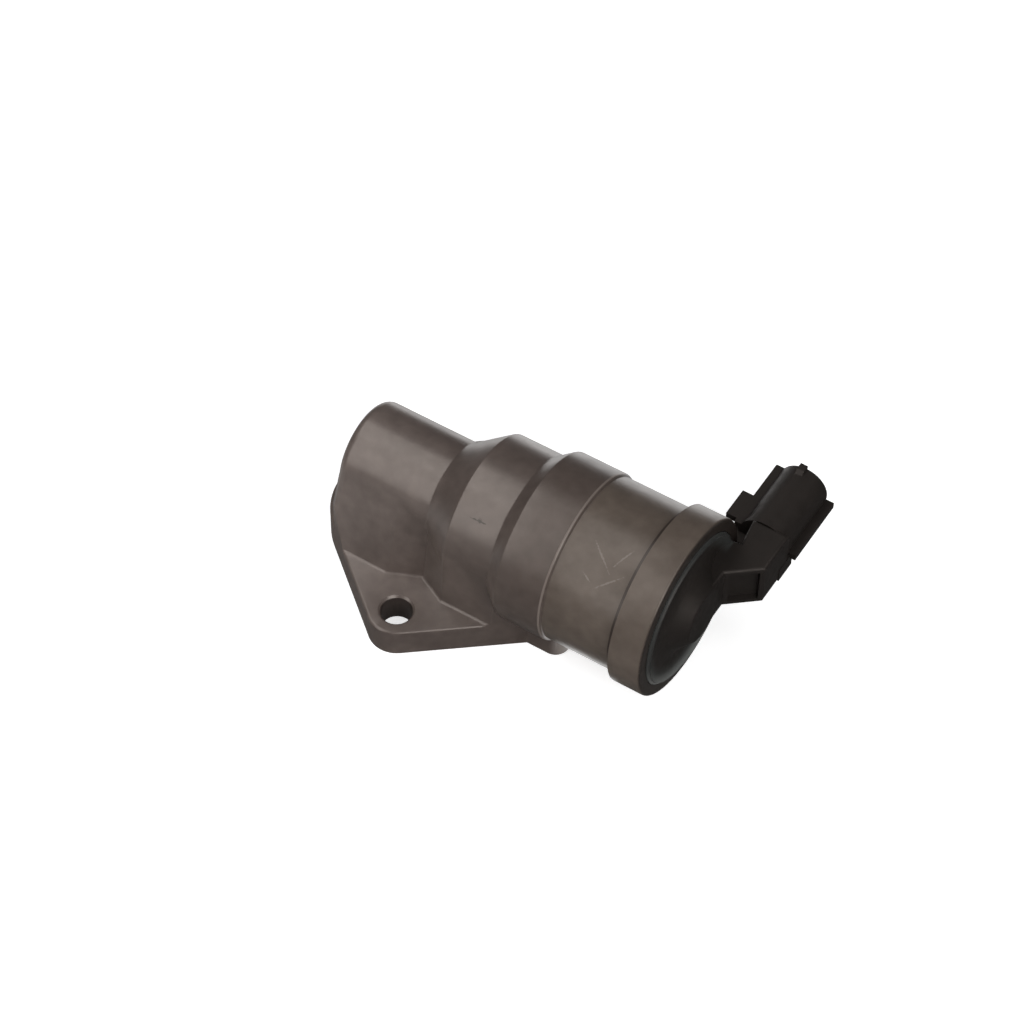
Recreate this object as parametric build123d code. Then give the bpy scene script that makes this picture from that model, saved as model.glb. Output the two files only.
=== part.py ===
# Idle air control valve of the linear solenoid kind: a cast body on a two-bolt flange, a moulded end cap
# with its socket, and the coil, core, plunger, springs and seals inside.
# Millimetres. X runs along the body from the closed nose to the cap, Z is up from the mounting face,
# and the bolt line crosses the origin.
import os
from math import acos, atan2, cos, hypot, pi, radians, sin, tan
from build123d import *

# Mounting flange and port pedestal
axis_height = 19.8
flange_thick = 6.7
bolt_offset = 23.25
bolt_hole_radius = 3.3
bolt_hole_chamfer = 0.45
bolt_corner_radius = 6.0
flange_edge_angle = 38.5
flange_nose_radius = 15.9
flange_nose_offset = 12.6
tab_half_width = 11.85
tab_end = 31.9
tab_corner = 3.0
edge_round = 0.6
foot_half_width = 16.5
foot_round = 0.7
flank_sink = 0.05
pocket_half_width = 13.4
pocket_half_length = 7.2
port_radius = 5.5
port_spacing = 23.5
port_chamfer = 0.5

# Outside of the casting, from the closed nose to the collar
nose_reach = 22.7
nose_length = 21.9
nose_radius = 10.8
nose_round = 2.2
cone_length = 7.4
ring_radius = 16.2
ring_length = 10.4
step_length = 3.0
barrel_radius = 18.45
barrel_length = 10.5
barrel_rear_radius = 17.9
barrel_rear_length = 16.3
step_slope = 0.35
collar_radius = 19.4
collar_length = 7.1
collar_round = 0.6
collar_fillet = 0.4
cast_fillet = 0.8

# Inside of the casting
nose_wall = 2.5
chamber_radius = 7.0
seat_bore_radius = 7.5
seat_length = 3.5
seat_setback = 0.8
chamber_rear_radius = 12.0
chamber_slope = 5.0
barrel_wall = 1.8
collar_wall = 1.6
lip_thick = 0.8
lip_overlap = 1.0

# Clearances
slip_gap = 0.15
fit_gap = 0.03
seal_gap = 0.05
seat_gap = 0.05
plunger_gap = 0.35

# Solenoid
front_plate_thick = 3.0
rear_plate_thick = 2.5
hub_radius = 5.0
hub_length = 3.5
yoke_wall = 2.0
bobbin_wall = 1.1
bobbin_flange = 1.2
bobbin_bore_radius = 7.1
coil_gap = 1.15
core_neck_radius = 3.5
nut_across = 11.0
nut_thick = 2.4
washer_thick = 0.45
washer_height = 0.8
washer_width = 2.6

# Plunger, bearings and springs
travel = 4.0
stop_gap = 0.2
stem_radius = 1.5
stem_overlap = 3.0
bush_wall = 1.1
rear_bush_length = 3.5
armature_front_gap = 1.0
armature_length = 8.0
armature_pocket_depth = 3.0
shim_thick = 0.3
spring_pocket_radius = 4.3
core_pocket_depth = 1.5
return_coil_radius = 3.25
return_wire_radius = 0.4
return_turns = 5
orifice_radius = 5.0
seat_lip_width = 0.8
seat_lip_height = 0.6
head_radius = 6.9
head_thick = 2.5
head_hub_radius = 3.3
head_hub_length = 3.6
pilot_radius = 4.3
pilot_length = 3.1
clip_thick = 0.6
clip_radius = 3.0
clip_groove_depth = 0.4
balance_coil_radius = 3.0
balance_wire_radius = 0.35
balance_turns = 8
cup_thick = 0.8
cup_spigot_radius = 2.3
cup_spigot_length = 3.0

# Seals
o_ring_radius = 0.9
o_ring_groove_width = 2.4
face_ring_radius = 0.62

# End cap, arm and socket
cap_flange_thick = 3.0
cap_proud = 0.7
cap_edge_round = 0.6
cap_dish = 1.1
cap_spigot_length = 4.0
cap_recess_radius = 8.4
cap_recess_depth = 5.2
boss_radius = 5.9
boss_reach = 2.8
boss_round = 0.9
boss_spread = 3.0
arm_half = 5.45
arm_sink = 0.12
arm_jog_start = 7.6
arm_jog_x = 6.3
arm_jog_y = 5.2
arm_end = 22.4
arm_clear = 1.5
arm_taper = 0.9
rim_gap = 0.9
arm_round = 0.7
rib_height = 1.3
panel_depth = 1.2
panel_margin = 1.0
socket_radius = 5.3
socket_wall = 1.2
socket_length = 17.2
socket_depth = 13.0
socket_inset = 0.35
socket_collar_length = 1.0
collar_proud = 0.1
socket_round = 0.4
rail_thick = 1.5
left_rail_reach = 1.4
left_rail_rise = 1.25
right_rail_reach = 1.6
right_rail_drop = 2.15
right_rail_setback = 1.2
shoulder_setback = 3.2
shoulder_length = 5.2
shoulder_step = 0.15
block_reach = 3.85
block_setback = 0.9
block_length = 6.8
web_drop = 1.25
web_gap = 0.4
key_width = 1.6
key_height = 0.7
key_length = 3.2
key_shift = 0.6

# Terminals
blade_thick = 0.8
blade_width = 1.6
blade_pitch = 4.0
blade_tail = 10.5
blade_reach = 8.0
blade_bend = 0.9
post_wall = 0.8

# Stations along the axis
nose_end = -nose_reach
cone_start = nose_end + nose_length
ring_start = cone_start + cone_length
ring_end = ring_start + ring_length
barrel_start = ring_end + step_length
barrel_step = barrel_start + barrel_length
collar_start = barrel_step + barrel_rear_length
collar_end = collar_start + collar_length
bore_radius = barrel_rear_radius - barrel_wall
pocket_radius = collar_radius - collar_wall
lip_radius = pocket_radius - lip_overlap
cap_seat = collar_end - lip_thick - cap_flange_thick
cap_face = collar_end + cap_proud
spigot_end = cap_seat - cap_spigot_length
plate_seat = barrel_start
coil_start = plate_seat + front_plate_thick
rear_plate_end = spigot_end - washer_height
coil_end = rear_plate_end - rear_plate_thick
stack_radius = bore_radius - slip_gap
coil_radius = stack_radius - yoke_wall - coil_gap
face_ring_pitch_radius = (chamber_rear_radius + stack_radius) / 2
seat_start = cone_start - seat_setback
seat_end = seat_start + seat_length
seat_face = seat_end + seat_lip_height
head_face = seat_face + seat_gap
head_back = head_face + head_thick
hub_back = head_back + head_hub_length
pilot_face = head_face - pilot_length
armature_front = coil_start + armature_front_gap
armature_back = armature_front + armature_length
core_face = armature_back + shim_thick + travel + stop_gap
core_pocket_floor = core_face + core_pocket_depth
stem_end = core_pocket_floor + stem_overlap
cup_seat = nose_end + nose_wall
cup_face = cup_seat + cup_thick
bush_radius = stem_radius + bush_wall
boss_face = cap_face + boss_reach
arm_face = boss_face - arm_sink
arm_outer = arm_face + arm_jog_x
arm_inner = collar_end + arm_clear
arm_throat = arm_inner + arm_taper
socket_axis_x = arm_outer - socket_inset - socket_radius
socket_end = arm_end + socket_length
socket_floor = socket_end - socket_depth
port_front_x = -port_spacing / 2
port_rear_x = port_spacing / 2


def about_axis(face):
    # turns an x-radius face about the body axis
    return Pos(0, 0, axis_height) * revolve(Plane.XZ * face, Axis.X)


def across_x(x, z=0):
    # upright plane square to the body axis, with y and z as its own directions
    return Plane((x, 0, z), x_dir=(0, 1, 0), z_dir=(1, 0, 0))


def along_y(y):
    # plane square to the socket's axis
    return Plane((socket_axis_x, y, axis_height), x_dir=(1, 0, 0), z_dir=(0, 1, 0))


def ring(start, end, inner, outer):
    # plain tube or disc about the body axis
    profile = Pos((start + end) / 2, (inner + outer) / 2) * Rectangle(end - start, outer - inner)
    return about_axis(profile)


def turned(*points):
    # solid turned from straight profile points
    return about_axis(make_face(Polyline(*points, close=True)))


def slab(x_span, y_span, base, thick):
    # flat bar between two stations each way, with its base given from the axis height
    low = (Align.MIN, Align.MIN, Align.MIN)
    bar = Box(x_span[1] - x_span[0], y_span[1] - y_span[0], thick, align=low)
    return Pos(x_span[0], y_span[0], axis_height + base) * bar


def coil_spring(start, end, radius, wire, turns):
    # closed-ended helix between two seats
    pitch = (end - start - 2 * wire) / turns
    path = Helix(pitch=pitch, height=pitch * turns, radius=radius)
    section = Plane(origin=path @ 0, z_dir=path % 0) * Circle(wire)
    helix = sweep(section, path=path)
    return Pos(start + wire, 0, axis_height) * Rot(0, 90, 0) * helix


def flange_plan():
    # diamond outline: rounded nose, two bolt corners and a squared tab under the barrel
    with BuildSketch() as plan:
        with Locations((-flange_nose_offset, 0)):
            Circle(flange_nose_radius)
        with Locations((0, bolt_offset), (0, -bolt_offset)):
            Circle(bolt_corner_radius)
        make_hull()
    slope = radians(flange_edge_angle)
    tangent_x = bolt_corner_radius * sin(slope)
    tangent_y = bolt_offset + bolt_corner_radius * cos(slope)
    shoulder_x = tangent_x + (tangent_y - tab_half_width) / tan(slope)
    upper = [(tangent_x, tangent_y), (shoulder_x, tab_half_width), (tab_end, tab_half_width)]
    lower = [(x, -y) for x, y in reversed(upper)]
    tab = make_face(Polyline(*upper, *lower, close=True))
    tab = fillet(tab.vertices().group_by(Axis.X)[-1], tab_corner)
    return plan.sketch + tab


def skirt_section(x, radius, foot):
    # upright slice of the pedestal: walls run from the body's flank down to the foot
    drop = axis_height - flange_thick
    inset = radius - flank_sink
    reach = hypot(foot, drop)
    angle = atan2(-drop, foot) + acos(min(1.0, inset / reach))
    flank_y = inset * cos(angle)
    flank_z = axis_height + inset * sin(angle)
    sunk = flange_thick / 2
    half = [(flank_y, flank_z), (foot, flange_thick), (foot, sunk)]
    other = [(-y, z) for y, z in reversed(half)]
    return across_x(x) * make_face(Polyline(*half, *other, close=True))


def block_plan():
    # the pedestal's own outline: the flange behind the nose end, with its corners rounded like the nose
    length = 2 * (tab_end - nose_end)
    width = 4 * bolt_offset
    behind = Pos(nose_end, 0) * Rectangle(length, width, align=(Align.MIN, Align.CENTER))
    shrunk = offset(flange_plan() & behind, -nose_round)
    return offset(shrunk, nose_round)


def pedestal():
    # port block under nose, cone and ring, pinched beside the bolts
    stations = []
    for step in range(4):
        turn = step * pi / 6
        inset = nose_round * (1 - sin(turn))
        front = nose_end + nose_round * (1 - cos(turn))
        stations.append((front, nose_radius - inset, foot_half_width - inset))
    stations += [
        (-pocket_half_length, nose_radius, foot_half_width),
        (0, nose_radius, pocket_half_width),
        (ring_start, ring_radius, foot_half_width),
        (tab_end - tab_corner, ring_radius, foot_half_width),
    ]
    block = loft([skirt_section(*station) for station in stations], ruled=True)
    return block & extrude(block_plan(), axis_height + nose_radius)


def outer_profile():
    # outside of the casting, nose to collar, as one turned profile
    with BuildSketch() as sketch:
        with BuildLine():
            Polyline(
                (nose_end, 0), (nose_end, nose_radius), (cone_start, nose_radius), (ring_start, ring_radius),
                (ring_end, ring_radius), (barrel_start, barrel_radius), (barrel_step, barrel_radius),
                (barrel_step + step_slope, barrel_rear_radius), (collar_start, barrel_rear_radius),
                (collar_start, collar_radius), (collar_end, collar_radius), (collar_end, 0), close=True,
            )
        make_face()
        collar_step = abs(collar_radius - barrel_rear_radius)
        corner_fillet = min(collar_fillet, collar_step / 2)
        rounds = [
            (nose_end, nose_radius, nose_round), (cone_start, nose_radius, cast_fillet),
            (ring_start, ring_radius, cast_fillet), (ring_end, ring_radius, cast_fillet),
            (barrel_start, barrel_radius, cast_fillet), (collar_start, barrel_rear_radius, corner_fillet),
            (collar_end, collar_radius, collar_round),
        ]
        for x, radius, size in rounds:
            corner = sketch.vertices().sort_by_distance((x, radius, 0))[0]
            fillet(corner, size)
    return sketch.sketch


def flange_edges(casting, inner, outer):
    # edges of the flange's top face whose middle lies between two distances from the axis plane
    top = []
    for edge in casting.edges():
        box = edge.bounding_box()
        level = abs(box.min.Z - flange_thick) + abs(box.max.Z - flange_thick) < 1e-3
        if level and inner < abs(edge.position_at(0.5).Y) < outer:
            top.append(edge)
    return top


def valve_body():
    casting = about_axis(outer_profile()) + extrude(flange_plan(), flange_thick) + pedestal()
    foot_reach = foot_half_width + edge_round
    ear_reach = bolt_offset + 2 * bolt_corner_radius
    casting = fillet(flange_edges(casting, pocket_half_width, foot_reach), foot_round)
    casting = fillet(flange_edges(casting, foot_reach + foot_round, ear_reach), edge_round)
    lip_start = collar_end - lip_thick
    lip_end = collar_end + lip_thick
    casting -= turned(
        (cup_seat, 0), (cup_seat, chamber_radius), (seat_start, chamber_radius),
        (seat_start, seat_bore_radius), (seat_end, seat_bore_radius),
        (seat_end + chamber_slope, chamber_rear_radius), (plate_seat, chamber_rear_radius),
        (plate_seat, bore_radius), (cap_seat, bore_radius), (cap_seat, pocket_radius),
        (lip_start, pocket_radius), (lip_start, lip_radius), (lip_end, lip_radius), (lip_end, 0),
    )
    low = (Align.CENTER, Align.CENTER, Align.MIN)
    for x in (port_front_x, port_rear_x):
        casting -= Pos(x, 0, 0) * Cylinder(port_radius, axis_height, align=low)
        casting -= Pos(x, 0, 0) * Cone(port_radius + port_chamfer, port_radius, port_chamfer, align=low)
    for side in (1, -1):
        casting -= Pos(0, side * bolt_offset, 0) * Cylinder(bolt_hole_radius, flange_thick, align=low)
        mouth = Cone(bolt_hole_radius, bolt_hole_radius + bolt_hole_chamfer, bolt_hole_chamfer, align=low)
        casting -= Pos(0, side * bolt_offset, flange_thick - bolt_hole_chamfer) * mouth
    return casting


def cap_disc():
    # flange under the lip, raised rim, dished face with a coned boss, and the spigot behind
    flange_radius = pocket_radius - slip_gap
    plug_radius = lip_radius - slip_gap
    flange_end = collar_end - lip_thick
    edge = (cap_face - cap_edge_round, plug_radius)
    rim = (cap_face, plug_radius - cap_edge_round)
    base = (cap_face, boss_radius + boss_spread)
    dish = (cap_face - cap_dish, (rim[1] + base[1]) / 2)
    crown = (boss_face, boss_radius)
    with BuildSketch() as sketch:
        with BuildLine():
            Polyline(
                base, crown, (boss_face, 0), (spigot_end, 0), (spigot_end, stack_radius),
                (cap_seat, stack_radius), (cap_seat, flange_radius), (flange_end, flange_radius),
                (flange_end, plug_radius), edge,
            )
            RadiusArc(edge, rim, -cap_edge_round)
            ThreePointArc(rim, dish, base)
        make_face()
        fillet(sketch.vertices().sort_by_distance((*crown, 0))[0], boss_round)
    return about_axis(sketch.sketch)


def arm():
    # cranked arm: along the cap, out at a slant, then on to the socket
    jog_end = arm_jog_start + arm_jog_y
    points = [
        (cap_seat, 0), (arm_face, 0), (arm_face, arm_jog_start), (arm_outer, jog_end), (arm_outer, arm_end),
        (arm_inner, arm_end), (arm_throat, lip_radius - rim_gap), (cap_seat, lip_radius - 2 * rim_gap),
    ]
    plan = make_face(Polyline(*points, close=True))
    bar = Pos(0, 0, axis_height - arm_half) * extrude(plan, 2 * arm_half)
    levels = bar.edges().filter_by(Plane.XY).group_by(Axis.Z)
    bar = fillet(levels[0] + levels[-1], arm_round)
    slant = Vector(arm_jog_x, arm_jog_y).normalized()
    inward = Vector(-slant.Y, slant.X)
    first = Vector(arm_face, arm_jog_start) + slant * panel_margin
    last = Vector(arm_outer, jog_end) - slant * panel_margin
    out = inward * -panel_depth
    into = inward * panel_depth
    corners = [first + out, last + out, last + into, first + into]
    panel = make_face(Polyline(*[(c.X, c.Y) for c in corners], close=True))
    window = 2 * (arm_half - rib_height)
    bar -= Pos(0, 0, axis_height - window / 2) * extrude(panel, window)
    return bar


def socket():
    # round shroud with two side rails, a stop block, a web beside the collar, a shoulder and a key
    tube = along_y(arm_end) * extrude(Circle(socket_radius), socket_length)
    tube = fillet(tube.edges().group_by(Axis.Y)[-1], socket_round)
    tube += along_y(arm_end) * extrude(Circle(arm_half + collar_proud), socket_collar_length)
    left_x = socket_axis_x - socket_radius - left_rail_reach
    right_x = socket_axis_x + socket_radius + right_rail_reach
    block_x = socket_axis_x - socket_radius - block_reach
    block_start = arm_end + block_setback
    shoulder_start = arm_end - shoulder_setback
    shoulder_end = shoulder_start + shoulder_length
    left_z = left_rail_rise - rail_thick / 2
    right_z = -right_rail_drop - rail_thick / 2
    web_z = -web_drop - rail_thick / 2
    tube += slab((left_x, socket_axis_x), (arm_end, socket_end), left_z, rail_thick)
    tube += slab((socket_axis_x, right_x), (arm_end + right_rail_setback, socket_end), right_z, rail_thick)
    tube += slab((block_x, socket_axis_x), (block_start, block_start + block_length), left_z, rail_thick)
    tube += slab((block_x, socket_axis_x), (collar_radius + web_gap, block_start), web_z, rail_thick)
    side = (socket_axis_x, arm_outer + shoulder_step)
    shoulder_z = -arm_half - shoulder_step
    tube += slab(side, (shoulder_start, shoulder_end), shoulder_z, arm_half + shoulder_step - right_rail_drop)
    key_z = axis_height + socket_radius + key_height
    key_foot = key_z - 2 * key_height
    profile = Polyline(
        (socket_end - key_length, key_foot), (socket_end, key_foot), (socket_end, key_z),
        (socket_end - key_length / 2, key_z), close=True,
    )
    key_x = socket_axis_x - key_shift - key_width / 2
    tube += across_x(key_x) * extrude(make_face(profile), key_width)
    hollow = along_y(socket_floor) * extrude(Circle(socket_radius - socket_wall), socket_depth)
    return tube, hollow


def terminal(side):
    # bent blade from the coil post, through the arm, into the socket
    tip = socket_floor + blade_reach
    half = blade_thick / 2
    start = spigot_end + seal_gap
    points = [
        (start, blade_tail - half), (socket_axis_x + half, blade_tail - half), (socket_axis_x + half, tip),
        (socket_axis_x - half, tip), (socket_axis_x - half, blade_tail + half), (start, blade_tail + half),
    ]
    plan = make_face(Polyline(*points, close=True))
    bend = plan.vertices().sort_by_distance((socket_axis_x + half, blade_tail - half, 0))[0]
    plan = fillet(bend, blade_bend)
    ends = plan.vertices().group_by(Axis.Y)[-1]
    plan = chamfer(ends, half / 2)
    middle = axis_height + side * blade_pitch / 2
    return Pos(0, 0, middle - blade_width / 2) * extrude(plan, blade_width)


def end_cap():
    shroud, hollow = socket()
    groove_start = (spigot_end + cap_seat - o_ring_groove_width) / 2
    groove_floor = bore_radius - 2 * o_ring_radius
    body = cap_disc() + arm() + shroud - hollow
    body -= ring(groove_start, groove_start + o_ring_groove_width, groove_floor, bore_radius)
    body -= ring(spigot_end, spigot_end + cap_recess_depth, 0, cap_recess_radius)
    for side in (1, -1):
        body -= terminal(side)
    return body


def cap_o_ring():
    middle = (spigot_end + cap_seat) / 2
    pitch = bore_radius - o_ring_radius
    section = Pos(middle, pitch) * Circle(o_ring_radius - seal_gap)
    return about_axis(section)


def front_o_ring():
    middle = plate_seat + face_ring_radius + seal_gap
    section = Pos(middle, face_ring_pitch_radius) * Circle(face_ring_radius)
    return about_axis(section)


def front_pole_plate():
    plate = ring(plate_seat, coil_start, bush_radius + fit_gap, stack_radius)
    plate += ring(plate_seat - hub_length, plate_seat, bush_radius + fit_gap, hub_radius)
    depth = 2 * (face_ring_radius + seal_gap)
    half_width = face_ring_radius + 3 * seal_gap
    inner = face_ring_pitch_radius - half_width
    outer = face_ring_pitch_radius + half_width
    return plate - ring(plate_seat, plate_seat + depth, inner, outer)


def post_block(start, end, gap):
    # block round both terminal tails, wider by the gap on every side
    depth = blade_thick + 2 * (post_wall + gap)
    height = blade_pitch + blade_width + 2 * (post_wall + gap)
    return Pos((start + end) / 2, blade_tail, axis_height) * Box(end - start, depth, height)


def rear_pole_plate():
    plate = ring(coil_end, rear_plate_end, core_neck_radius + fit_gap, stack_radius)
    return plate - post_block(coil_end, rear_plate_end, slip_gap)


def yoke_sleeve():
    return ring(coil_start, coil_end, stack_radius - yoke_wall, stack_radius)


def coil_bobbin():
    flange_radius = stack_radius - yoke_wall - slip_gap
    start = coil_start + fit_gap
    end = coil_end - fit_gap
    tube = ring(start, end, bobbin_bore_radius, bobbin_bore_radius + bobbin_wall)
    front = ring(start, start + bobbin_flange, bobbin_bore_radius, flange_radius)
    rear = ring(end - bobbin_flange, end, bobbin_bore_radius, flange_radius)
    return tube + front + rear + post_block(end, spigot_end, 0)


def coil_winding():
    inner = bobbin_bore_radius + bobbin_wall + seal_gap
    start = coil_start + bobbin_flange + fit_gap + seal_gap
    end = coil_end - bobbin_flange - fit_gap - seal_gap
    return ring(start, end, inner, coil_radius)


def fixed_core():
    bush_end = core_pocket_floor + rear_bush_length
    bush_bore = bush_radius + fit_gap
    relief_end = stem_end + travel + stop_gap
    relief_radius = stem_radius + plunger_gap
    neck_end = rear_plate_end + nut_thick + stop_gap
    core_radius = bobbin_bore_radius - slip_gap
    return turned(
        (core_face, core_radius), (core_face, spring_pocket_radius),
        (core_pocket_floor, spring_pocket_radius), (core_pocket_floor, bush_bore), (bush_end, bush_bore),
        (bush_end, relief_radius), (relief_end, relief_radius), (relief_end, 0),
        (neck_end, 0), (neck_end, core_neck_radius), (coil_end, core_neck_radius), (coil_end, core_radius),
    )


def core_nut():
    hexagon = RegularPolygon(nut_across / 2, 6, major_radius=False) - Circle(core_neck_radius + fit_gap)
    return across_x(rear_plate_end, axis_height) * extrude(hexagon, nut_thick)


def spring_washer():
    # dished washer, flat on the rear plate at its outer edge and under the spigot at its inner edge
    outer = stack_radius - slip_gap
    inner = outer - washer_width
    return turned(
        (rear_plate_end, outer), (rear_plate_end + washer_thick, outer),
        (spigot_end, inner), (spigot_end - washer_thick, inner),
    )


def front_bush():
    return ring(plate_seat - hub_length, coil_start, stem_radius + fit_gap, bush_radius)


def rear_bush():
    return ring(core_pocket_floor, core_pocket_floor + rear_bush_length, stem_radius + fit_gap, bush_radius)


def valve_seat():
    outer = seat_bore_radius - fit_gap
    lip_outer = orifice_radius + seat_lip_width
    return turned(
        (seat_start, orifice_radius), (seat_start, outer), (seat_end, outer), (seat_end, lip_outer),
        (seat_face, lip_outer), (seat_face, orifice_radius),
    )


def valve_stem():
    groove_radius = stem_radius - clip_groove_depth
    tip = pilot_face + pilot_length / 2
    groove_end = hub_back + clip_thick + 2 * fit_gap
    point = stem_radius / 2
    return turned(
        (tip, 0), (tip, stem_radius), (hub_back, stem_radius), (hub_back, groove_radius),
        (groove_end, groove_radius), (groove_end, stem_radius), (stem_end - point, stem_radius),
        (stem_end, point), (stem_end, 0),
    )


def valve_head():
    bore = stem_radius + fit_gap
    bottom = pilot_face + pilot_length / 2 - fit_gap
    bevel = head_thick / 2
    return turned(
        (pilot_face, 0), (pilot_face, pilot_radius), (head_face, pilot_radius), (head_face, head_radius),
        (head_back - bevel, head_radius), (head_back, head_hub_radius + bevel),
        (head_back, head_hub_radius), (hub_back, head_hub_radius), (hub_back, bore),
        (bottom, bore), (bottom, 0),
    )


def head_clip():
    # open snap ring in the stem's groove
    inner = stem_radius - clip_groove_depth + fit_gap
    band = Circle(clip_radius) - Circle(inner)
    mouth = Pos(0, -clip_radius / 2) * Rectangle(2 * inner, clip_radius)
    return across_x(hub_back + fit_gap, axis_height) * extrude(band - mouth, clip_thick)


def armature():
    radius = bobbin_bore_radius - plunger_gap
    bore = stem_radius + fit_gap
    floor = armature_back - armature_pocket_depth
    return turned(
        (armature_front, bore), (armature_front, radius), (armature_back, radius),
        (armature_back, spring_pocket_radius), (floor, spring_pocket_radius), (floor, bore),
    )


def residual_shim():
    outer = bobbin_bore_radius - plunger_gap
    return ring(armature_back, armature_back + shim_thick, spring_pocket_radius, outer)


def return_spring():
    start = armature_back - armature_pocket_depth + seal_gap
    end = core_pocket_floor - seal_gap
    return coil_spring(start, end, return_coil_radius, return_wire_radius, return_turns)


def balance_spring():
    start = cup_face + seal_gap
    end = pilot_face - seal_gap
    return coil_spring(start, end, balance_coil_radius, balance_wire_radius, balance_turns)


def spring_cup():
    disc = ring(cup_seat, cup_face, 0, chamber_radius - slip_gap)
    return disc + ring(cup_face, cup_face + cup_spigot_length, 0, cup_spigot_radius)


pieces = {
    "valve_body": valve_body(),
    "end_cap": end_cap(),
    "cap_o_ring": cap_o_ring(),
    "front_o_ring": front_o_ring(),
    "front_pole_plate": front_pole_plate(),
    "rear_pole_plate": rear_pole_plate(),
    "yoke_sleeve": yoke_sleeve(),
    "coil_bobbin": coil_bobbin(),
    "coil_winding": coil_winding(),
    "fixed_core": fixed_core(),
    "core_nut": core_nut(),
    "spring_washer": spring_washer(),
    "front_bush": front_bush(),
    "rear_bush": rear_bush(),
    "valve_seat": valve_seat(),
    "spring_cup": spring_cup(),
    "balance_spring": balance_spring(),
    "return_spring": return_spring(),
    "terminal_upper": terminal(1),
    "terminal_lower": terminal(-1),
    "valve_stem": valve_stem(),
    "valve_head": valve_head(),
    "head_clip": head_clip(),
    "armature": armature(),
    "residual_shim": residual_shim(),
}

os.makedirs("parts", exist_ok=True)
for name, piece in pieces.items():
    export_step(piece, f"parts/{name}.step")
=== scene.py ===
import math
import bpy
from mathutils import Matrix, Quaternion, Vector


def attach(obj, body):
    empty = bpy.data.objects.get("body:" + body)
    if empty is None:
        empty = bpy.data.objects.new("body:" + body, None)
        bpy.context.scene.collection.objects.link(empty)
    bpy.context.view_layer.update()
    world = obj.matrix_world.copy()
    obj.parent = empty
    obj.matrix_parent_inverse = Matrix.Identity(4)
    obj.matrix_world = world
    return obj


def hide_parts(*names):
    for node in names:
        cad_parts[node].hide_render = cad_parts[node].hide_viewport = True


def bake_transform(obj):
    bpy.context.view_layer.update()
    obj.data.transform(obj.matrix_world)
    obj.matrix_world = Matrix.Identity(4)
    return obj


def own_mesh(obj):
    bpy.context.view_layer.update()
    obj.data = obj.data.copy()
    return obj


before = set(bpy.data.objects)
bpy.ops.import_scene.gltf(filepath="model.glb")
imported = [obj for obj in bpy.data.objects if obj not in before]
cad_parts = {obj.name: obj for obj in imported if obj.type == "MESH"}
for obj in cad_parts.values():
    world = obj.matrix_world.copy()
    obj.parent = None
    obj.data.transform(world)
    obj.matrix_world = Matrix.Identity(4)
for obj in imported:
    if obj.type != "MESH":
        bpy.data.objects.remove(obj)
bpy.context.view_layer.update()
millimetre = 0.001  # in metres, the scene's unit
axisHeightMm = 19.8  # of the body's axis above the mounting face
print("frame loaded,", len(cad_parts), "nodes")


def linear(hexColour):  # sRGB hex to the linear values that shaders take
    values = [int(hexColour[i:i + 2], 16) / 255 for i in (1, 3, 5)]
    return [v / 12.92 if v <= 0.04045 else ((v + 0.055) / 1.055) ** 2.4 for v in values] + [1.0]


def metres(valuesMm):  # a row of millimetres in the scene's unit
    return [value * millimetre for value in valuesMm]


def addNode(tree, kind, settings=None, inputs=None):  # one node with its settings, values and links
    node = tree.nodes.new(kind)
    for name, value in (settings or {}).items():
        setattr(node, name, value)
    for name, value in (inputs or {}).items():
        socket = node.inputs[name]
        if isinstance(value, bpy.types.NodeSocket):
            tree.links.new(value, socket)
        elif isinstance(value, str):  # a hex colour
            socket.default_value = linear(value)
        else:
            socket.default_value = value
    return node


def newMaterial(name):
    material = bpy.data.materials.new(name)
    material.use_nodes = True
    tree = material.node_tree
    shader = tree.nodes["Principled BSDF"]
    place = addNode(tree, "ShaderNodeTexCoord").outputs["Object"]
    return material, tree, shader, place


patterns = {
    "noiseRange": (0.3, 0.7),  # between which the noise nearly always lies
    "patchDetail": 3.0,
    "grainDetail": 4.0,
    "grainRoughness": 0.6,
    "markRaggedMm": 0.5,  # size of the bites in a mark's edge
    "markRagged": 0.35,  # their depth, as a share of the mark's half sizes
    "markFade": (1.0, 0.4),  # shares of the half sizes between which a mark grows to full strength
}


def mottle(tree, place, sizeMm, low, high):  # soft patches of about one size, between two values
    noise = addNode(tree, "ShaderNodeTexNoise", None, {
        "Vector": place, "Scale": 1 / (sizeMm * millimetre), "Detail": patterns["patchDetail"]})
    least, most = patterns["noiseRange"]
    spread = addNode(tree, "ShaderNodeMapRange", None, {
        "Value": noise.outputs["Fac"], "From Min": least, "From Max": most, "To Min": low, "To Max": high})
    return spread.outputs["Result"]


def grain(tree, place, shader, sizeMm, heightMm):  # fine relief of the skin
    noise = addNode(tree, "ShaderNodeTexNoise", None, {
        "Vector": place, "Scale": 1 / (sizeMm * millimetre),
        "Detail": patterns["grainDetail"], "Roughness": patterns["grainRoughness"]})
    bump = addNode(tree, "ShaderNodeBump", None, {
        "Height": noise.outputs["Fac"], "Distance": heightMm * millimetre, "Strength": 1.0})
    tree.links.new(bump.outputs["Normal"], shader.inputs["Normal"])


def aboutAxis(tree, place):  # the three coordinates, and the distance from the body's axis
    axes = addNode(tree, "ShaderNodeSeparateXYZ", None, {0: place}).outputs
    rise = addNode(tree, "ShaderNodeMath", {"operation": "SUBTRACT"}, {
        0: axes["Z"], 1: axisHeightMm * millimetre})
    across = addNode(tree, "ShaderNodeCombineXYZ", None, {"Y": axes["Y"], "Z": rise.outputs[0]})
    reach = addNode(tree, "ShaderNodeVectorMath", {"operation": "LENGTH"}, {0: across.outputs["Vector"]})
    return axes, reach.outputs["Value"]


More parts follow.
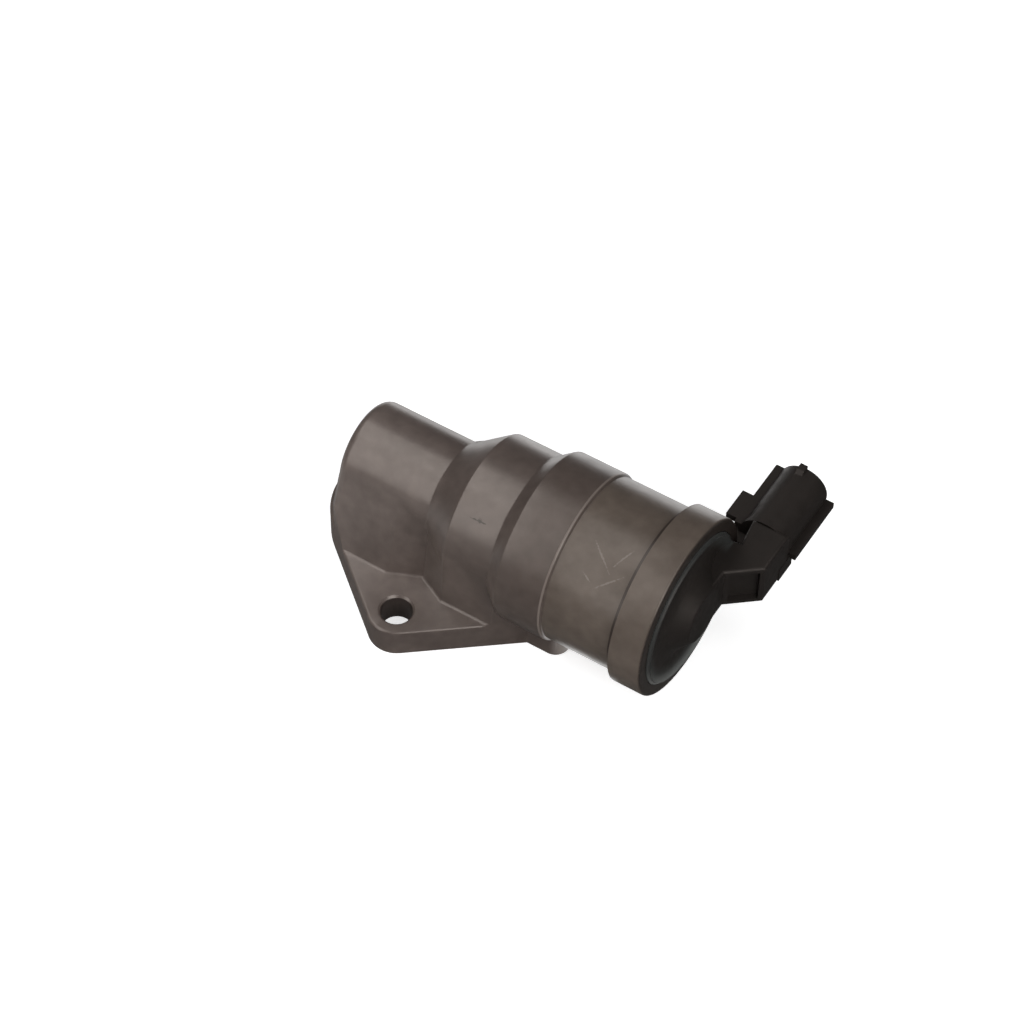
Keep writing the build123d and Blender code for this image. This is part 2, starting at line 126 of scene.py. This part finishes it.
def zone(tree, limits, strength=1.0):  # the strength where every value is past its limits, 0 before them
    for value, limitsMm in limits:
        start, end = metres(limitsMm)
        ramp = addNode(tree, "ShaderNodeMapRange", {"interpolation_type": "SMOOTHSTEP"}, {
            "Value": value, "From Min": start, "From Max": end})
        strength = addNode(tree, "ShaderNodeMath", {"operation": "MULTIPLY"}, {
            0: ramp.outputs["Result"], 1: strength}).outputs[0]
    return strength


def span(value, limitsMm):  # a zone's two limits along one axis: where it begins, is full, fades and is gone
    begins, full, fades, gone = limitsMm
    return [(value, (begins, full)), (value, (gone, fades))]


def layered(tree, colour, layers):  # lays each layer's colour over what is there, by its share
    for share, layerColour in layers:
        blend = addNode(tree, "ShaderNodeMix", {"data_type": "RGBA"}, {
            0: share, 6: colour, 7: layerColour})  # 6, 7 and the result 2 are the sockets for colours
        colour = blend.outputs[2]
    return colour


def markMask(tree, place, centreMm, halfMm, turnDegrees):  # soft-edged stain or scratch at one spot
    local = addNode(tree, "ShaderNodeMapping", {"vector_type": "TEXTURE"}, {
        "Vector": place, "Location": metres(centreMm),
        "Rotation": [math.radians(turn) for turn in turnDegrees], "Scale": metres(halfMm)})
    reach = addNode(tree, "ShaderNodeVectorMath", {"operation": "LENGTH"}, {0: local.outputs["Vector"]})
    ragged = mottle(tree, place, patterns["markRaggedMm"], -patterns["markRagged"], patterns["markRagged"])
    edge = addNode(tree, "ShaderNodeMath", {"operation": "ADD"}, {0: reach.outputs["Value"], 1: ragged})
    start, end = patterns["markFade"]
    mask = addNode(tree, "ShaderNodeMapRange", {"interpolation_type": "SMOOTHSTEP"}, {
        "Value": edge.outputs[0], "From Min": start, "From Max": end})
    return mask.outputs["Result"]


coat = {
    "colour": "#574d48",
    "zones": {  # mm along X over which each colour comes in
        "rear": ((30.4, 31.2), "#61574f"),  # paler behind the step
        "nose": ((24, -18), "#6b605b"),  # paler still towards the nose
        "lip": ((53.5, 53.85), "#2a2522"),  # painted shade on the lip's end face, which faces away from the light
    },
    "blotchColour": "#2c2420",
    "blotches": {"broad": (9.0, 0.3), "fine": (2.2, 0.22)},  # size in mm and greatest share of each
    "roughness": (0.29, 0.35),
    "glossMm": 2.5,  # size of the patches that differ in roughness
    "shine": (0.55, 0.95),  # specular level of the rear and of the nose
    "shineRamp": (24, 16),  # mm along X between the two
    "sheenColour": "#f6ece4",
    "grainMm": 0.6,
    "grainHeightMm": 0.0025,
    "scuffColour": "#151110",
    "scuffs": {  # centre and half sizes in mm, and turn in degrees, of each mark
        "line": ((11.9, -11.5, 31.3), (2.8, 0.6, 0.22), (-45, 0, 2)),
        "dot": ((12.3, -11.4, 31.4), (0.7, 0.7, 0.7), (-45, 0, 0)),
    },
    "scratchColour": "#6e655e",
    "scratches": {
        "long": ((38.75, -8.79, 35.34), (4.2, 0.25, 0.7), (23.5, 18.4, -35.9)),
        "slant": ((42.62, -7.47, 36.01), (3.0, 0.25, 0.7), (10.7, -22.5, 63.7)),
        "low": ((41.88, -12.11, 32.91), (3.7, 0.25, 0.7), (33.7, -28.0, 35.2)),
        "short": ((37.6, -12.6, 32.4), (1.7, 0.22, 0.7), (42.3, 22.8, -23.1)),
    },
    "bands": {  # station along X and half width in mm, and colour, of each thin line of painted light or shade round the body
        # painted highlight along the rounded step at the end of the barrel
        "stepHighlight": (30.3, 0.2, "#706660"),
        # painted shade in the crease at the foot of the collar
        "footShade": (46.25, 0.45, "#372e2a"),
    },
    "bandReach": (17.0, 18.6),  # mm from the axis between which the bands show
    # painted shade: the walls of the bolt holes are darkened where little light reaches
    "holeShadeColour": "#3d3430",
    "holes": ((0, -23.25, 3.36), (0, 23.25, 3.36)),  # place and radius in mm of each bolt hole
}


def coatBands(tree, axes, reach):  # layers of the thin lines round the body: a painted highlight on the step and painted shade at the collar's foot
    layers = []
    inner, outer = metres(coat["bandReach"])
    outside = addNode(tree, "ShaderNodeMath", {"operation": "COMPARE"}, {
        0: reach, 1: (inner + outer) / 2, 2: (outer - inner) / 2})
    for stationMm, halfMm, bandColour in coat["bands"].values():
        band = addNode(tree, "ShaderNodeMath", {"operation": "COMPARE"}, {
            0: axes["X"], 1: stationMm * millimetre, 2: halfMm * millimetre})
        shown = addNode(tree, "ShaderNodeMath", {"operation": "MULTIPLY"}, {
            0: band.outputs[0], 1: outside.outputs[0]})
        layers.append((shown.outputs[0], bandColour))
    return layers


def coatHoleShade(tree, place):  # layers of painted shade on the walls of the bolt holes
    layers = []
    flat = addNode(tree, "ShaderNodeVectorMath", {"operation": "MULTIPLY"}, {0: place, 1: (1, 1, 0)})
    for xMm, yMm, radiusMm in coat["holes"]:
        apart = addNode(tree, "ShaderNodeVectorMath", {"operation": "SUBTRACT"}, {
            0: flat.outputs["Vector"], 1: metres((xMm, yMm, 0))})
        offHole = addNode(tree, "ShaderNodeVectorMath", {"operation": "LENGTH"}, {0: apart.outputs["Vector"]})
        inside = addNode(tree, "ShaderNodeMath", {"operation": "LESS_THAN"}, {
            0: offHole.outputs["Value"], 1: radiusMm * millimetre})
        layers.append((inside.outputs[0], coat["holeShadeColour"]))
    return layers


def castCoating():  # die-cast alloy with a satin brown-grey coat: soft broad highlights, white at the rims
    material, tree, shader, place = newMaterial("castAlloySatinCoat")
    axes, reach = aboutAxis(tree, place)
    layers = []
    for rampMm, zoneColour in coat["zones"].values():
        start, end = metres(rampMm)
        ramp = addNode(tree, "ShaderNodeMapRange", None, {
            "Value": axes["X"], "From Min": start, "From Max": end})
        layers.append((ramp.outputs["Result"], zoneColour))
    for sizeMm, share in coat["blotches"].values():
        layers.append((mottle(tree, place, sizeMm, 0.0, share), coat["blotchColour"]))
    layers += coatBands(tree, axes, reach) + coatHoleShade(tree, place)
    for marks, markColour in (("scuffs", coat["scuffColour"]), ("scratches", coat["scratchColour"])):
        for centreMm, halfMm, turnDegrees in coat[marks].values():
            layers.append((markMask(tree, place, centreMm, halfMm, turnDegrees), markColour))
    tree.links.new(layered(tree, coat["colour"], layers), shader.inputs["Base Color"])
    start, end = metres(coat["shineRamp"])
    rearShine, noseShine = coat["shine"]
    shine = addNode(tree, "ShaderNodeMapRange", None, {
        "Value": axes["X"], "From Min": start, "From Max": end, "To Min": rearShine, "To Max": noseShine})
    tree.links.new(shine.outputs["Result"], shader.inputs["Specular IOR Level"])
    shader.inputs["Specular Tint"].default_value = linear(coat["sheenColour"])
    tree.links.new(mottle(tree, place, coat["glossMm"], *coat["roughness"]), shader.inputs["Roughness"])
    grain(tree, place, shader, coat["grainMm"], coat["grainHeightMm"])
    return material


moulding = {
    "colour": "#201c1a",
    "patchColour": "#1c1917",
    "patchMm": 5.0,
    # painted reflection of light on the slope of the cap's rim: grey, and paler on its lower side
    "rimSheenColour": "#343635",
    "rimRamp": (12.5, 15.5),  # mm from the axis over which the painted reflection greys the rim
    "lowSheenColour": "#686a68",
    "lowRamp": (20.0, 7.0),  # height in mm over which the painted reflection pales further
    "lowRimRamp": (14.2, 16.2),  # mm from the axis over which it does
    "rimDepth": (55.2, 54.8),  # mm along X, the painted reflection stays short of this
    "rimEnd": (17.6, 17.2),  # mm from the axis, and within this
    "roughness": (0.48, 0.58),
    "glossMm": 2.0,  # size of the patches that differ in roughness
    "sheenColour": "#f4e8e0",
    "grainMm": 0.3,
    "grainHeightMm": 0.008,
}


def blackMoulding():  # glass-filled nylon from a sparked mould: near black with a soft sheen
    material, tree, shader, place = newMaterial("glassFilledNylonBlack")
    axes, reach = aboutAxis(tree, place)
    disc = [(axes["X"], moulding["rimDepth"]), (reach, moulding["rimEnd"])]
    rim = disc + [(reach, moulding["rimRamp"])]
    lowRim = disc + [(reach, moulding["lowRimRamp"]), (axes["Z"], moulding["lowRamp"])]
    # the rim and lowRim zones are painted reflection, not the moulding's own colour
    colour = layered(tree, moulding["colour"], [
        (mottle(tree, place, moulding["patchMm"], 0.0, 1.0), moulding["patchColour"]),
        (zone(tree, rim), moulding["rimSheenColour"]),
        (zone(tree, lowRim), moulding["lowSheenColour"])])
    tree.links.new(colour, shader.inputs["Base Color"])
    shader.inputs["Specular Tint"].default_value = linear(moulding["sheenColour"])
    roughness = mottle(tree, place, moulding["glossMm"], *moulding["roughness"])
    tree.links.new(roughness, shader.inputs["Roughness"])
    grain(tree, place, shader, moulding["grainMm"], moulding["grainHeightMm"])
    return material


softStuff = {  # name, colour, patch colour, lowest and highest roughness, grain size and height in mm
    "seal_rubber": ("nitrileRubber", "#191a1b", "#141414", 0.6, 0.75, 0.4, 0.004),  # dull black, no sheen
    "spool_moulding": ("naturalNylon", "#cfc6b2", "#c6bca6", 0.4, 0.5, 0.6, 0.003),  # cream, waxy sheen
}
softSkin = {"patchMm": 3.0, "glossMm": 1.5}  # sizes of the patches of colour and of roughness


def softMaterial(name, colour, patchColour, roughLow, roughHigh, grainMm, heightMm):
    material, tree, shader, place = newMaterial(name)
    patches = mottle(tree, place, softSkin["patchMm"], 0.0, 1.0)
    tree.links.new(layered(tree, colour, [(patches, patchColour)]), shader.inputs["Base Color"])
    roughness = mottle(tree, place, softSkin["glossMm"], roughLow, roughHigh)
    tree.links.new(roughness, shader.inputs["Roughness"])
    grain(tree, place, shader, grainMm, heightMm)
    return material


metals = {  # name, colour, stain colour, lowest and highest roughness, pitch and height in mm of tool lines
    "soft_iron": ("zincPlatedIron", "#b4b4b2", "#9d9c98", 0.32, 0.45, 0.12, 0.0015),  # pale grey, dull
    "copper_wire": ("enamelledCopper", "#b0623a", "#9a5231", 0.29, 0.36, 0.42, 0.09),  # ridged by its turns
    "spring_steel": ("springSteel", "#9a9a9b", "#86868a", 0.29, 0.36, 0.2, 0.0004),  # drawn, bluish grey
    "bush_bronze": ("sinteredBronze", "#a9793f", "#8f6636", 0.4, 0.5, 0.25, 0.001),  # dull gold, oil stained
    "turned_brass": ("turnedBrass", "#cfae62", "#bd9b54", 0.29, 0.35, 0.1, 0.0012),  # yellow, lathe rings
    "turned_aluminium": (  # white metal, lathe rings
        "turnedAluminium", "#c9c9cb", "#bcbcc0", 0.29, 0.36, 0.12, 0.0015),
    "tinned_brass": ("tinnedBrass", "#cbc8c0", "#bdb9af", 0.29, 0.38, 0.15, 0.0006),  # silvery, a warm cast
    "stem_steel": ("groundSteel", "#c2c2c4", "#b2b2b5", 0.15, 0.24, 0.08, 0.0006),  # nearly mirror bright
}
metalSkin = {
    "stainMm": 2.5,
    "glossMm": 1.2,  # size of the patches that differ in roughness
    "lineWander": 0.6,
    "lineDetail": 1.0,
    "waveTurn": 20,  # radians that the wave node turns per unit
}


def turnedMetal(name, colour, stainColour, roughLow, roughHigh, pitchMm, heightMm):
    material, tree, shader, place = newMaterial(name)
    shader.inputs["Metallic"].default_value = 1.0
    stains = mottle(tree, place, metalSkin["stainMm"], 0.0, 1.0)
    tree.links.new(layered(tree, colour, [(stains, stainColour)]), shader.inputs["Base Color"])
    roughness = mottle(tree, place, metalSkin["glossMm"], roughLow, roughHigh)
    tree.links.new(roughness, shader.inputs["Roughness"])
    lines = addNode(tree, "ShaderNodeTexWave", {"wave_type": "BANDS", "bands_direction": "X"}, {
        "Vector": place, "Scale": math.tau / metalSkin["waveTurn"] / (pitchMm * millimetre),
        "Distortion": metalSkin["lineWander"], "Detail": metalSkin["lineDetail"]})
    bump = addNode(tree, "ShaderNodeBump", None, {
        "Height": lines.outputs["Fac"], "Distance": heightMm * millimetre, "Strength": 1.0})
    tree.links.new(bump.outputs["Normal"], shader.inputs["Normal"])
    return material


dressed = {}  # the material of each slot
slotNodes = {  # which CAD nodes wear each slot's material
    "seal_rubber": ("cap_o_ring", "front_o_ring"),
    "soft_iron": ("front_pole_plate", "rear_pole_plate", "yoke_sleeve", "fixed_core", "core_nut", "armature"),
    "spool_moulding": ("coil_bobbin",),
    "copper_wire": ("coil_winding",),
    "spring_steel": ("spring_washer", "balance_spring", "return_spring", "head_clip"),
    "bush_bronze": ("front_bush", "rear_bush"),
    "turned_brass": ("valve_seat", "residual_shim"),
    "turned_aluminium": ("spring_cup", "valve_head"),
    "tinned_brass": ("terminal_upper", "terminal_lower"),
    "stem_steel": ("valve_stem",),
}
for slotName, nodeNames in slotNodes.items():
    if slotName in softStuff:
        material = softMaterial(*softStuff[slotName])
    else:
        material = turnedMetal(*metals[slotName])
    dressed[slotName] = material
    for nodeName in nodeNames:
        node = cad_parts[nodeName]
        node.data.materials.clear()
        node.data.materials.append(material)
print("inner pieces dressed")

meshing = {
    "mergeMm": 0.002,  # vertices nearer than this become one
    "shellCrease": 28,  # degrees past which an edge of the body or the cap stays sharp
    "coilCrease": 40,  # the same on the springs
    "edgeReachMm": 0.02,  # how far an edge that is to be rounded may lie off its circle
}


def pick(piece):  # makes the piece the only selected one
    bpy.ops.object.select_all(action="DESELECT")
    bpy.context.view_layer.objects.active = piece
    piece.select_set(True)


def smoothCopy(nodeName, pieceName, creaseDegrees):  # merged copy of a CAD node with smooth rounds
    piece = bpy.data.objects.new(pieceName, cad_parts[nodeName].data.copy())
    bpy.context.scene.collection.objects.link(piece)
    pick(piece)
    bpy.ops.object.mode_set(mode="EDIT")
    bpy.ops.mesh.customdata_custom_splitnormals_clear()
    bpy.ops.mesh.select_all(action="SELECT")
    bpy.ops.mesh.remove_doubles(threshold=meshing["mergeMm"] * millimetre)
    bpy.ops.object.mode_set(mode="OBJECT")
    bpy.ops.object.shade_smooth_by_angle(angle=math.radians(creaseDegrees))
    return piece


def dress(piece, material, nodeName):
    piece.data.materials.clear()
    piece.data.materials.append(material)
    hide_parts(nodeName)


bodyEdges = {  # station along X, radius and width in mm, and segments, of each rounded edge
    "barrelStep": (30.5, 18.45, 0.42, 4),
}


def onCircle(place, stationMm, radiusMm):  # whether a vertex lies on one circle of the turned outside
    radius = math.hypot(place.y, place.z - axisHeightMm * millimetre)
    misses = (place.x - stationMm * millimetre, radius - radiusMm * millimetre)
    return all(abs(miss) < meshing["edgeReachMm"] * millimetre for miss in misses)


def roundEdge(piece, stationMm, radiusMm, widthMm, segments):  # rounds one circle of the turned outside
    pick(piece)
    bpy.ops.object.mode_set(mode="EDIT")
    bpy.ops.mesh.select_mode(type="EDGE")
    bpy.ops.mesh.select_all(action="DESELECT")
    bpy.ops.object.mode_set(mode="OBJECT")
    found = 0
    for edge in piece.data.edges:
        ends = [piece.data.vertices[i].co for i in edge.vertices]
        edge.select = all(onCircle(end, stationMm, radiusMm) for end in ends)
        found += edge.select
    bpy.ops.object.mode_set(mode="EDIT")
    bpy.ops.mesh.bevel(offset=widthMm * millimetre, segments=segments, profile=0.5, affect="EDGES",
                       clamp_overlap=False)
    bpy.ops.object.mode_set(mode="OBJECT")
    print("rounded", found, "edges at", stationMm)


castBody = smoothCopy("valve_body", "castBody", meshing["shellCrease"])
for edgeValues in bodyEdges.values():
    roundEdge(castBody, *edgeValues)
dress(castBody, castCoating(), "valve_body")
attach(castBody, "housing")
mouldedCap = smoothCopy("end_cap", "mouldedCap", meshing["shellCrease"])
dress(mouldedCap, blackMoulding(), "end_cap")
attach(mouldedCap, "housing")
print("body and cap dressed")


returnCoil = smoothCopy("return_spring", "returnCoil", meshing["coilCrease"])
dress(returnCoil, dressed["spring_steel"], "return_spring")
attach(returnCoil, "housing")
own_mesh(returnCoil)
balanceCoil = smoothCopy("balance_spring", "balanceCoil", meshing["coilCrease"])
dress(balanceCoil, dressed["spring_steel"], "balance_spring")
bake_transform(balanceCoil)
print("springs dressed")

ground = {
    "size": 8.0,  # metres
    "gapMm": 0.1,  # below the mounting face, so that the two planes don't share a place
    "colour": "#f2f2f2",
    "roughness": 0.9,
    "glowColour": "#ffffff",
    "cameraGlow": 0.6,  # added for camera and glass rays
    "mirrorColour": "#000000",  # mirror rays meet this in place of the colour, and the glows below
    "mirrorBack": 1.9,  # glow of the floor behind the part
    "mirrorRamp": (0, 100),  # mm along Y over which it brightens
    "mirrorEnds": (-130, -70, 30, 60),  # mm along X between which it shows
    "mirrorLeft": 0.5,  # glow to the left of the part
    "leftRamp": (-20, -50),  # mm along X over which it brightens
    "mirrorUnder": 1.6,  # glow just below the barrel's near side
    "underAlong": (28, 33, 43, 46),  # mm along X where that patch begins and ends
    "underAcross": (-17.5, -14.5, -6, -3),  # and along Y
    "mirrorRest": 0.08,  # glow everywhere else
}


def mirrorMap(tree, place):  # how strongly the floor glows for mirror rays
    axes = addNode(tree, "ShaderNodeSeparateXYZ", None, {0: place}).outputs
    leftEnd, rightEnd = span(axes["X"], ground["mirrorEnds"])
    back = addNode(tree, "ShaderNodeMapRange", None, {
        "Value": zone(tree, [(axes["Y"], ground["mirrorRamp"])]),
        "To Min": ground["mirrorRest"], "To Max": ground["mirrorBack"]})
    glow = zone(tree, [leftEnd, rightEnd], back.outputs["Result"])
    side = zone(tree, [(axes["X"], ground["leftRamp"]), leftEnd], ground["mirrorLeft"])
    patch = span(axes["X"], ground["underAlong"]) + span(axes["Y"], ground["underAcross"])
    for other in (side, zone(tree, patch, ground["mirrorUnder"]), ground["mirrorRest"]):
        glow = addNode(tree, "ShaderNodeMath", {"operation": "MAXIMUM"}, {0: glow, 1: other}).outputs[0]
    return glow


def buildFloor():
    bpy.ops.object.select_all(action="DESELECT")
    bpy.ops.mesh.primitive_plane_add(size=ground["size"], location=(0, 0, -ground["gapMm"] * millimetre))
    floor = bpy.context.active_object
    floor.name = "studioFloor"
    material, tree, shader, place = newMaterial("paleFloor")
    rays = addNode(tree, "ShaderNodeLightPath").outputs
    colour = layered(tree, ground["colour"], [(rays["Is Glossy Ray"], ground["mirrorColour"])])
    tree.links.new(colour, shader.inputs["Base Color"])
    seen = addNode(tree, "ShaderNodeMath", {"operation": "MAXIMUM"}, {
        0: rays["Is Camera Ray"], 1: rays["Is Transmission Ray"]})
    plain = addNode(tree, "ShaderNodeMath", {"operation": "MULTIPLY"}, {
        0: seen.outputs[0], 1: ground["cameraGlow"]})
    glow = addNode(tree, "ShaderNodeMath", {"operation": "MULTIPLY_ADD"}, {
        0: rays["Is Glossy Ray"], 1: mirrorMap(tree, place), 2: plain.outputs[0]})
    tree.links.new(glow.outputs[0], shader.inputs["Emission Strength"])
    shader.inputs["Emission Color"].default_value = linear(ground["glowColour"])
    shader.inputs["Roughness"].default_value = ground["roughness"]
    shader.inputs["Specular IOR Level"].default_value = 0.0
    floor.data.materials.append(material)


sky = {
    "colour": "#ffffff",
    "strength": (0.03, 0.1),  # at the horizon and overhead
    "ramp": (0.1, 0.8),  # shares of the full height between which it grows
}


def buildSky():
    world = bpy.data.worlds.new("studioSky")
    bpy.context.scene.world = world
    world.use_nodes = True
    tree = world.node_tree
    backdrop = tree.nodes["Background"]
    backdrop.inputs["Color"].default_value = linear(sky["colour"])
    place = addNode(tree, "ShaderNodeTexCoord")
    height = addNode(tree, "ShaderNodeSeparateXYZ", None, {0: place.outputs["Generated"]})
    start, end = sky["ramp"]
    low, high = sky["strength"]
    strength = addNode(tree, "ShaderNodeMapRange", {"interpolation_type": "SMOOTHSTEP"}, {
        "Value": height.outputs["Z"], "From Min": start, "From Max": end, "To Min": low, "To Max": high})
    tree.links.new(strength.outputs["Result"], backdrop.inputs["Strength"])


view = {
    "azimuth": 31.48,  # degrees, 0 looks along +Y
    "elevation": 51.8,
    "roll": 0.82,
    "distance": 0.6997,  # metres from the point aimed at
    "aim": (0.00788, 0.00712, 0.01201),  # that point, in metres
    "lens": 121.0,  # mm, as the sensor's width is
    "sensor": 36.0,
    "clip": (0.01, 50.0),  # nearest and farthest that is drawn, in metres
}
softboxes = {  # turn and rise in degrees, distance, width and height in metres, and power in watts
    "tallLeft": (240, 38, 0.8, 0.42, 1.0, 2.7),
    "topLeft": (178, 58, 0.8, 0.5, 0.5, 1.7),
    "keyRight": (325, 36, 0.8, 0.5, 0.5, 2.9),
    "topRight": (0, 64, 0.8, 0.42, 0.42, 0.9),
    "edgeCard": (-17, 10, 0.8, 0.4, 0.4, 0.5),
}


def addLamp(name, turn, rise, distance, width, height, power):
    lamp = bpy.data.lights.new(name, "AREA")
    lamp.shape = "RECTANGLE"
    lamp.size = width
    lamp.size_y = height
    lamp.energy = power
    holder = bpy.data.objects.new(name, lamp)
    bpy.context.scene.collection.objects.link(holder)
    turn, rise = math.radians(turn), math.radians(rise)
    towards = Vector((math.cos(rise) * math.cos(turn), math.cos(rise) * math.sin(turn), math.sin(rise)))
    holder.location = Vector(view["aim"]) + towards * distance
    holder.rotation_euler = towards.to_track_quat("Z", "Y").to_euler()


def placeCamera():
    turn = math.radians(view["azimuth"])
    rise = math.radians(view["elevation"])
    back = Vector((math.sin(turn) * math.cos(rise), -math.cos(turn) * math.cos(rise), math.sin(rise)))
    data = bpy.data.cameras.new("camera")
    data.lens = view["lens"]
    data.sensor_width = view["sensor"]
    data.clip_start, data.clip_end = view["clip"]
    camera = bpy.data.objects.new("camera", data)
    bpy.context.scene.collection.objects.link(camera)
    camera.location = Vector(view["aim"]) + back * view["distance"]
    level = back.to_track_quat("Z", "Y")
    camera.rotation_euler = (level @ Quaternion((0, 0, 1), math.radians(view["roll"]))).to_euler()
    bpy.context.scene.camera = camera


buildFloor()
buildSky()
for lampName, lampValues in softboxes.items():
    addLamp(lampName, *lampValues)
placeCamera()
bpy.context.scene.view_settings.view_transform = "Standard"
print("studio ready")
